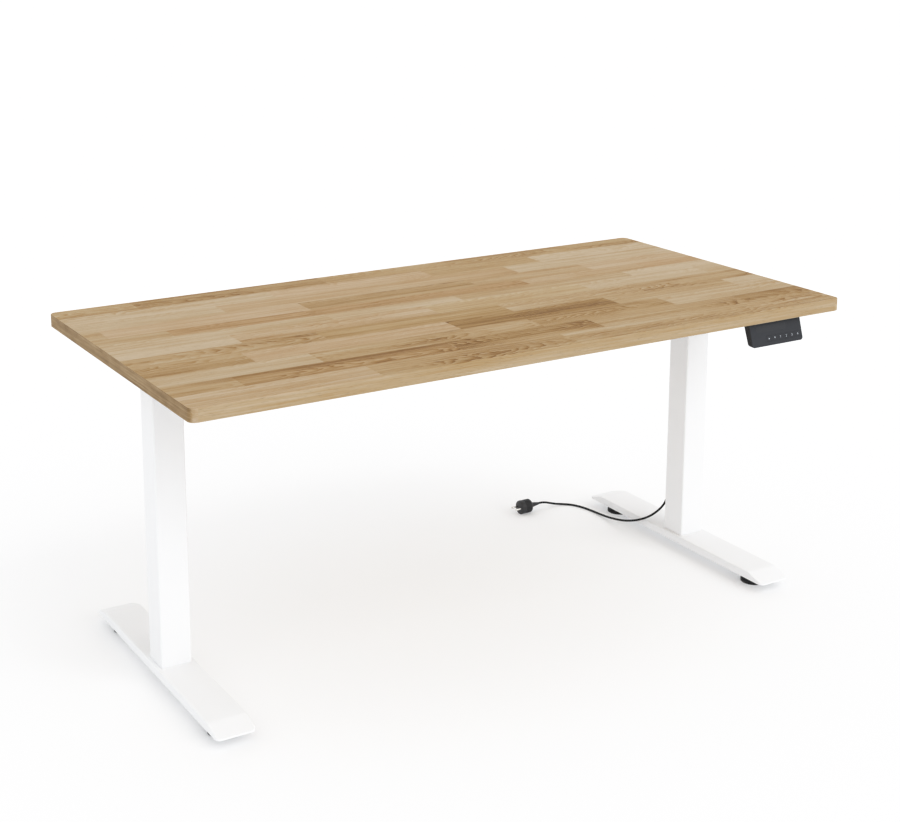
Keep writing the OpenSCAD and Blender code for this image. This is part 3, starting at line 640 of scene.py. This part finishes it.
def stave_wood(name):
    """Oiled hardwood staves. Each stave has its own place in the log, tone, figure and hue."""
    s = Surface(name, Coat_Weight=0.02, Coat_Roughness=0.3, Specular_IOR_Level=0.06)
    point = s.node("ShaderNodeTexCoord").outputs["Object"]
    pith = {0: point, 1: s.attribute("pith", "Vector")}
    local = s.node("ShaderNodeVectorMath", pith, operation="SUBTRACT").outputs["Vector"]
    tone, figure, hue = s.parts(s.attribute("look", "Vector"))
    rings = growth_rings(s, local, s.calc("SUBTRACT", s.parts(point)[0], s.attribute("begin")))
    facing = s.parts(s.node("ShaderNodeNewGeometry").outputs["True Normal"])
    front = s.window(s.calc("ABSOLUTE", facing[1]), 0.6, 0.9)

    # The figure comes and goes along a stave, and the front edge has almost none
    patches = s.span(s.window(s.noise(s.mapped(local, (5, 14, 14)), 1.0, 2), 0.36, 0.62), 0.25, 1.0)
    arches = s.calc("MULTIPLY", s.calc("MULTIPLY", rings, patches), s.span(front, 1.0, 0.15))

    # Broad streaks, thin streaks, fibres and short pores, all along the grain
    streaks = s.noise(s.mapped(local, (1.3, 44, 44)), 1.0, 4, 0.6)
    thin = s.noise(s.mapped(local, (2.6, 140, 140)), 1.0, 3, 0.6)
    fibres = s.noise(s.mapped(local, (12, 620, 620)), 1.0, 3, 0.6)
    pores = s.noise(s.mapped(local, (60, 1500, 1500)), 1.0, 1, 0.5)
    pore_dots = s.window(pores, 0.64, 0.74)

    shade = s.calc("ADD", s.signed(streaks, 0.9), s.signed(thin, 0.85))
    shade = s.calc("ADD", shade, s.signed(fibres, 0.75))
    shade = s.calc("SUBTRACT", shade, s.calc("MULTIPLY", arches, s.span(figure, 0.10, 0.72)))
    # Painted light: faces towards the front and back are lightened by which way they face, so the
    # board's long edges read brighter
    edge_painted_light = s.span(front, 0.10, 0.23)
    depth = s.calc("ADD", s.calc("ADD", tone, shade), edge_painted_light, clamp=True)
    colour = s.ramp(depth, WOOD_TONES)
    amber = s.mix(1.0, colour, (0.95, 0.82, 0.62), "MULTIPLY")
    colour = s.mix(s.calc("MULTIPLY", arches, s.span(figure, 0.1, 0.9)), colour, amber)
    colour = turn_hue(s, colour, hue)
    colour = s.mix(s.calc("MULTIPLY", pore_dots, 0.4), colour, (0.12, 0.062, 0.022))
    at_end = s.window(s.calc("ABSOLUTE", facing[0]), 0.6, 0.9)
    colour = s.mix(at_end, colour, sawn_end(s, point))

    relief = s.calc("ADD", s.calc("MULTIPLY", rings, -0.5), s.calc("MULTIPLY", fibres, 0.5))
    relief = s.calc("SUBTRACT", relief, pore_dots)
    normal = s.bump(relief, 0.00007, 0.45)
    roughness = s.span(streaks, 0.42, 0.58)
    return s.finish(colour, roughness, normal)


# ---- Tabletop ----

# Widths of the rows of staves from the back edge, in millimetres
ROW_WIDTHS = [68, 65, 72, 68, 50, 50, 72, 70, 68, 72, 67, 78]
# Each row's staves: where one starts from the left end, in millimetres, then its tone from
# dark 0 to light 1, how strong its figure is, and its hue from yellow -1 to pink 1
STAVES = [
    [(0, 0.6, 0.8, -0.3), (185, 0.4, 0.6, 0), (660, 0.5, 0.5, -0.2), (1015, 0.5, 0.8, -0.2)],
    [(0, 0.8, 0.5, 0), (495, 0.7, 0.3, 0.3), (915, 0.5, 0.3, -0.2), (1230, 0.9, 0.3, 0)],
    [(0, 0.7, 0.2, 0), (340, 0.6, 0.3, 0.2), (1115, 0.7, 0.2, 0)],
    [
        (0, 0.6, 0.3, 0), (40, 0.7, 0.3, 0.3), (510, 0.4, 0.5, 0), (955, 0.5, 0.4, 0.1),
        (1290, 0.7, 0.3, 0.2),
    ],
    [
        (0, 0.6, 0.4, 0), (165, 0.4, 0.3, 0.4), (490, 0.4, 0.3, 0.4), (1070, 0.6, 0.4, 0.2),
        (1420, 0.5, 0.3, 0.4),
    ],
    [(0, 0.7, 0.5, 0), (515, 0.7, 0.3, 0), (850, 0.6, 0.3, 0), (1335, 0.8, 0.3, 0)],
    [
        (0, 0.8, 0.2, 0), (265, 0.6, 0.4, 0.2), (740, 0.7, 0.4, -0.3), (1165, 0.8, 0.2, 0),
        (1520, 0.7, 0.4, 0),
    ],
    [(0, 0.5, 0.9, 0), (430, 0.4, 0.3, -0.3), (890, 0.6, 0.5, 0), (1260, 0.5, 0.9, 0)],
    [
        (0, 0.4, 0.5, 0), (230, 0.7, 0.4, 0.3), (710, 0.2, 0.5, -0.2), (1135, 0.5, 0.4, 0),
        (1490, 0.8, 0.6, 0),
    ],
    [(0, 0.7, 0.3, 0), (345, 0.5, 0.8, 0), (875, 0.4, 0.6, -0.1), (1240, 0.7, 0.4, 0)],
    [
        (0, 0.5, 1.0, 0), (145, 0.3, 0.9, 0.2), (625, 0.3, 1.0, 0), (985, 0.5, 0.8, 0),
        (1400, 0.3, 0.9, 0),
    ],
    [(0, 0.6, 0.4, 0.2), (400, 0.5, 0.8, 0), (865, 0.6, 0.8, 0)],
]
# Radii of the top's corners seen from above, and of its edges
TOP_CORNER = 16
EDGE_ROUND = 1.0


def board_bmesh(low, high):
    """The solid board: a rounded rectangle from above, with rounded upper and lower edges."""
    width, depth = (high.x - low.x) / MM, (high.y - low.y) / MM
    bottom, top = low.z / MM, high.z / MM
    steps = 5
    profile = []
    for k in range(steps + 1):
        angle = math.radians(90 * k / steps)
        inset = EDGE_ROUND * (1 - math.sin(angle))
        profile.append((inset, bottom + EDGE_ROUND * (1 - math.cos(angle))))
    profile += [(inset, bottom + top - z) for inset, z in reversed(profile)]
    rings = []
    for inset, z in profile:
        outline = rounded_outline(width - 2 * inset, depth - 2 * inset, TOP_CORNER - inset, 12)
        rings.append([Vector((x, y, z)) * MM for x, y in outline])
    bm = bmesh.new()
    loft(bm, rings)
    return bm


def cut_row(bm, x, y_low, y_high):
    """Cuts the faces of one row of staves across at x."""
    faces = [f for f in bm.faces if y_low < f.calc_center_median().y < y_high]
    edges = {e for f in faces for e in f.edges}
    verts = {v for f in faces for v in f.verts}
    geometry = [*faces, *edges, *verts]
    bmesh.ops.bisect_plane(bm, geom=geometry, plane_co=(x, 0, 0), plane_no=(1, 0, 0))


def make_tabletop(material):
    """The board, cut into its staves, each of which carries its own look."""
    low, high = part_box("tabletop")
    bm = board_bmesh(low, high)
    y = high.y
    rows = []
    for width, staves in zip(ROW_WIDTHS, STAVES):
        rows.append((y - width * MM, y, staves))
        y -= width * MM
    for y_low, _, _ in rows[:-1]:
        bmesh.ops.bisect_plane(
            bm, geom=[*bm.verts, *bm.edges, *bm.faces], plane_co=(0, y_low, 0), plane_no=(0, 1, 0)
        )
    for y_low, y_high, staves in rows:
        for start, *_ in staves[1:]:
            cut_row(bm, low.x + start * MM, y_low, y_high)

    pith_layer = bm.faces.layers.float_vector.new("pith")
    begin_layer = bm.faces.layers.float.new("begin")
    look_layer = bm.faces.layers.float_vector.new("look")
    rng = random.Random(7)
    for y_low, y_high, staves in rows:
        ends = [start for start, *_ in staves[1:]] + [(high.x - low.x) / MM + 1]
        for (start, tone, figure, hue), end in zip(staves, ends):
            middle = (y_low + y_high) / 2
            sideways = rng.uniform(-0.015, 0.015) if figure > 0.5 else rng.uniform(0.03, 0.09)
            sunk = rng.uniform(0.02, 0.05) if figure > 0.5 else rng.uniform(0.05, 0.12)
            pith = Vector((rng.uniform(-4, 4), middle + sideways, high.z - sunk))
            for face in bm.faces:
                centre = face.calc_center_median()
                in_row = y_low - MM < centre.y < y_high + MM
                if in_row and low.x + (start - 1) * MM < centre.x < low.x + end * MM:
                    face[pith_layer] = pith
                    face[begin_layer] = low.x + start * MM
                    face[look_layer] = Vector((tone, figure, hue))
    top = add_piece("tabletop_staves", bm, material, "top_frame")
    top.modifiers.new("normals", "WEIGHTED_NORMAL").keep_sharp = True
    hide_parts("tabletop")


# ---- Feet ----

# How far the sloping end's lower edge stays above the skirt's, and where its slope begins
FOOT_TIP_RISE = 3
FOOT_FOLD_Y = 290
# Radius of the end's corners seen from above, and thickness of the sheet
FOOT_CORNER = 12
FOOT_SHEET = 2.5
# Radii of the long bends outside and inside, half the fold's length and the end's edge radius
BEND_R = 3
BEND_INNER_R = 1
FOLD_SOFT = 5
END_R = 1.4


def foot_top_z(y, half_len, flat, skirt):
    """Height of the foot's top at y: flat, then a soft fold, then a slope to a rounded end."""
    slope = (flat - skirt - FOOT_TIP_RISE) / (half_len - FOOT_FOLD_Y)
    past = abs(y) - FOOT_FOLD_Y
    if past < -FOLD_SOFT:
        z = flat
    elif past < FOLD_SOFT:
        z = flat - slope * (past + FOLD_SOFT) ** 2 / (4 * FOLD_SOFT)
    else:
        z = flat - slope * past
    to_end = half_len - abs(y)
    if to_end < END_R:
        z -= END_R - math.sqrt(END_R**2 - (END_R - to_end) ** 2)
    return z


def foot_grid(width, half_len, flat, skirt, bend, inset):
    """Rows of points over the foot's outside, or over its inside if inset is the sheet."""
    to_end = [0, 0.15, 0.5, 1, 2, 3.5, 5.5, 8, FOOT_CORNER, 20, 30]
    near_fold = [half_len - FOOT_FOLD_Y - inset + k for k in (-6, -5, -3, -1, 1, 3, 5, 6)]
    to_end = sorted({*to_end, *[max(d, 31) for d in near_fold]})
    ys = [-half_len + inset + d for d in to_end]
    ys += [-200, -100, 0, 100, 200] + [-y for y in reversed(ys)]
    rows = []
    for y in ys:
        from_end = half_len - inset - abs(y)
        narrow = FOOT_CORNER - inset
        half = width / 2 - inset
        if from_end < narrow:
            half -= narrow - math.sqrt(narrow**2 - (narrow - from_end) ** 2)
        # Where the top slopes, the sheet is a little thicker measured straight down
        top = max(foot_top_z(y, half_len, flat, skirt) - inset * 1.03, skirt + 0.2)
        radius = min(bend, top - skirt - 0.1)
        left = [(-half, skirt)]
        for degrees in range(0, 91, 15):
            angle = math.radians(degrees)
            x = -half + radius * (1 - math.cos(angle))
            left.append((x, top - radius * (1 - math.sin(angle))))
        rows.append([(x, y, z) for x, z in left + [(-x, z) for x, z in reversed(left)]])
    drop = [[(x, y, skirt) for x, y, _ in row] for row in (rows[0], rows[-1])]
    return [drop[0], *rows, drop[1]]


def make_foot(name, node, material):
    """A foot bent from sheet steel: an open shell with soft bends and sloping ends."""
    low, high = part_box(node)
    centre_x = (low.x + high.x) / 2 / MM
    width, half_len = (high.x - low.x) / MM, (high.y - low.y) / 2 / MM
    flat, skirt = high.z / MM, low.z / MM
    outer = foot_grid(width, half_len, flat, skirt, BEND_R, 0)
    inner = foot_grid(width, half_len, flat, skirt, BEND_INNER_R, FOOT_SHEET)
    bm = bmesh.new()
    skins = []
    for grid in (outer, inner):
        rows = []
        for points in grid:
            rows.append([bm.verts.new(Vector((centre_x + x, y, z)) * MM) for x, y, z in points])
        for near, far in zip(rows, rows[1:]):
            for k in range(len(near) - 1):
                bm.faces.new((near[k], near[k + 1], far[k + 1], far[k]))
        right_side = [row[-1] for row in rows[1:-1]]
        left_side = [row[0] for row in rows[-2:0:-1]]
        skins.append(rows[0] + right_side + rows[-1][::-1] + left_side)
    for k in range(len(skins[0])):
        m = (k + 1) % len(skins[0])
        bm.faces.new((skins[0][k], skins[0][m], skins[1][m], skins[1][k]))
    bmesh.ops.remove_doubles(bm, verts=bm.verts, dist=0.01 * MM)
    foot = add_piece(name, bm, material, "base", 50)
    foot.modifiers.new("normals", "WEIGHTED_NORMAL").keep_sharp = True
    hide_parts(node)


# ---- Handset marks ----

# Strokes of the numbers and outlines of the arrows, in a space one mark high
STROKES = {
    "one": [[(-0.35, 0.3), (0, 0.5), (0, -0.5)]],
    "two": [[
        (-0.3, 0.3), (-0.2, 0.45), (0, 0.5), (0.2, 0.45), (0.3, 0.28), (0.25, 0.1),
        (-0.3, -0.5), (0.32, -0.5),
    ]],
    "three": [
        [
            (-0.3, 0.38), (-0.12, 0.5), (0.12, 0.5), (0.28, 0.38), (0.28, 0.16), (0.1, 0.03),
            (-0.08, 0.03),
        ],
        [(0.1, 0.03), (0.3, -0.12), (0.3, -0.36), (0.13, -0.5), (-0.13, -0.5), (-0.3, -0.38)],
    ],
    "four": [[(0.15, -0.5), (0.15, 0.5), (-0.33, -0.2), (0.35, -0.2)]],
}
ARROWS = {
    "up": [(-0.42, -0.35), (0.42, -0.35), (0, 0.4)],
    "down": [(-0.42, 0.35), (0.42, 0.35), (0, -0.4)],
}
MARK_HEIGHT = 4.2
MARK_STROKE = 0.55
# The ink's thickness and the gap under it, in millimetres
MARK_PROUD = 0.12
MARK_GAP = 0.02


def key_face(key):
    """The middle of a key's outer face, and the directions up and outward there."""
    joint = next(j for j in frame["joints"] if j["name"] == "key_" + key + "_press")
    inward = Vector(joint["axis"]).normalized()
    points = [v.co for v in frame["nodes"]["key_" + key].data.vertices]
    nearest = min(inward.dot(p) for p in points)
    same_face = 0.02 * MM
    face = [p for p in points if inward.dot(p) < nearest + same_face]
    middle = Vector([(min(p[k] for p in face) + max(p[k] for p in face)) / 2 for k in range(3)])
    return middle, Vector((1, 0, 0)).cross(inward), -inward


def extrude_outline(bm, points, thickness):
    """Adds a flat prism on a closed outline of points, raised along the thickness vector."""
    bottom = [bm.verts.new(p) for p in points]
    top = [bm.verts.new(p + thickness) for p in points]
    bm.faces.new(bottom)
    bm.faces.new(top[::-1])
    for k in range(len(points)):
        m = (k + 1) % len(points)
        bm.faces.new((bottom[k], bottom[m], top[m], top[k]))


def make_marks(material):
    """The printed arrow or number on each key, as thin raised ink that moves with the key."""
    for key in ("up", "down", "one", "two", "three", "four"):
        middle, up, outward = key_face(key)
        right = Vector((1, 0, 0))
        base = middle + outward * MARK_GAP * MM
        size = MARK_HEIGHT * MM
        bm = bmesh.new()
        if key in ARROWS:
            corners = [base + right * x * size + up * z * size for x, z in ARROWS[key]]
            extrude_outline(bm, corners, outward * MARK_PROUD * MM)
        for stroke in STROKES.get(key, []):
            points = [base + right * x * size + up * z * size for x, z in stroke]
            for a, b in zip(points, points[1:]):
                along = (b - a).normalized() * MARK_STROKE / 2 * MM
                side = along.cross(outward)
                box = [a - along + side, b + along + side, b + along - side, a - along - side]
                extrude_outline(bm, box, outward * MARK_PROUD * MM)
        add_piece("mark_" + key, bm, material, "key_" + key)


# ---- CAD nodes that stay: their finish ----

EDGE_BREAK = {
    "white_powder_coat": 0.35, "zinc_steel": 0.25, "ground_steel": 0.2, "bronze_nut": 0.25,
    "white_plastic": 0.3, "black_rubber": 0.5, "gearbox_alloy": 0.7, "motor_can": 0.6,
    "black_plastic": 0.5, "handset_plastic": 0.4, "display_window": 0.1, "circuit_board": 0.1,
    "lead_sheath": 0.3, "nickel_pin": 0.2,
}


def finish_cad_nodes(materials):
    """Gives each CAD node that still shows its procedural material and small broken edges."""
    for name, node in frame["nodes"].items():
        slot = node.data.materials[0].name.split(".")[0]
        # The handset's case shares its cover's slot, but gets a darker, rougher copy of that
        # plastic
        node.data.materials[0] = materials["handset_shell" if name == "handset_case" else slot]
        if node.hide_render:
            continue
        weld = node.modifiers.new("weld", "WELD")
        weld.merge_threshold = 0.005 * MM
        bevel = node.modifiers.new("edges", "BEVEL")
        bevel.width = EDGE_BREAK[slot] * MM
        bevel.segments = 2
        bevel.limit_method = "ANGLE"
        bevel.angle_limit = math.radians(40)
        bevel.use_clamp_overlap = True
        bevel.harden_normals = False
        node.modifiers.new("normals", "WEIGHTED_NORMAL").keep_sharp = True


# ---- Everything together ----

# Tool marks fine along Z only, as turning leaves them round the upright spindles and nuts
TURNED = (0.05, 0.05, 1)


def build():
    make_camera()
    make_world()
    soften_highlights()
    make_key_light()
    make_floor()
    materials = {
        "wood_top": stave_wood("oiled_staves"),
        "white_powder_coat": powder_coat("powder_coat"),
        "zinc_steel": plated_metal("zinc_plate", (0.62, 0.63, 0.66)),
        "ground_steel": plated_metal("ground_steel", (0.55, 0.56, 0.58), (0.2, 0.32), TURNED),
        "bronze_nut": plated_metal("bronze", (0.72, 0.53, 0.27), (0.28, 0.42), TURNED),
        "white_plastic": moulded_plastic("white_plastic", (0.78, 0.78, 0.775)),
        "black_rubber": rubber("pad_rubber", (0.018, 0.018, 0.019)),
        "gearbox_alloy": cast_alloy("cast_alloy"),
        "motor_can": painted_can("motor_paint"),
        "black_plastic": moulded_plastic("black_plastic", (0.022, 0.022, 0.024)),
        "handset_plastic": moulded_plastic(
            "handset_plastic", (0.013, 0.0155, 0.0215), rough=(0.55, 0.68)
        ),
        "handset_shell": moulded_plastic("handset_shell", (0.006, 0.006, 0.007), rough=(0.6, 0.72)),
        "display_window": smoked_window("smoked_window"),
        "circuit_board": circuit_board("circuit_board"),
        "lead_sheath": rubber("lead_sheath", (0.004, 0.004, 0.0045), (0.5, 0.65)),
        "nickel_pin": plated_metal("nickel", (0.75, 0.74, 0.71), (0.14, 0.26)),
    }
    cord, path = make_mains_cord(materials["lead_sheath"])
    plug, pins = make_plug(materials["black_plastic"], materials["nickel_pin"])
    make_connector(materials["black_plastic"])
    sheath = materials["lead_sheath"]
    motor_routes = [LEFT_MOTOR_ROUTE, RIGHT_MOTOR_ROUTE]
    make_lead("motor_lead_pair", "motor_leads", motor_routes, MOTOR_LEAD_D, sheath)
    make_lead("handset_lead_run", "handset_lead", [HANDSET_ROUTE], HANDSET_LEAD_D, sheath)
    make_tabletop(materials["wood_top"])
    make_foot("foot_shell_left", "foot_left", materials["white_powder_coat"])
    make_foot("foot_shell_right", "foot_right", materials["white_powder_coat"])
    make_marks(moulded_plastic("key_ink", (0.62, 0.66, 0.72), 2600, 0.000005))
    finish_cad_nodes(materials)


build()
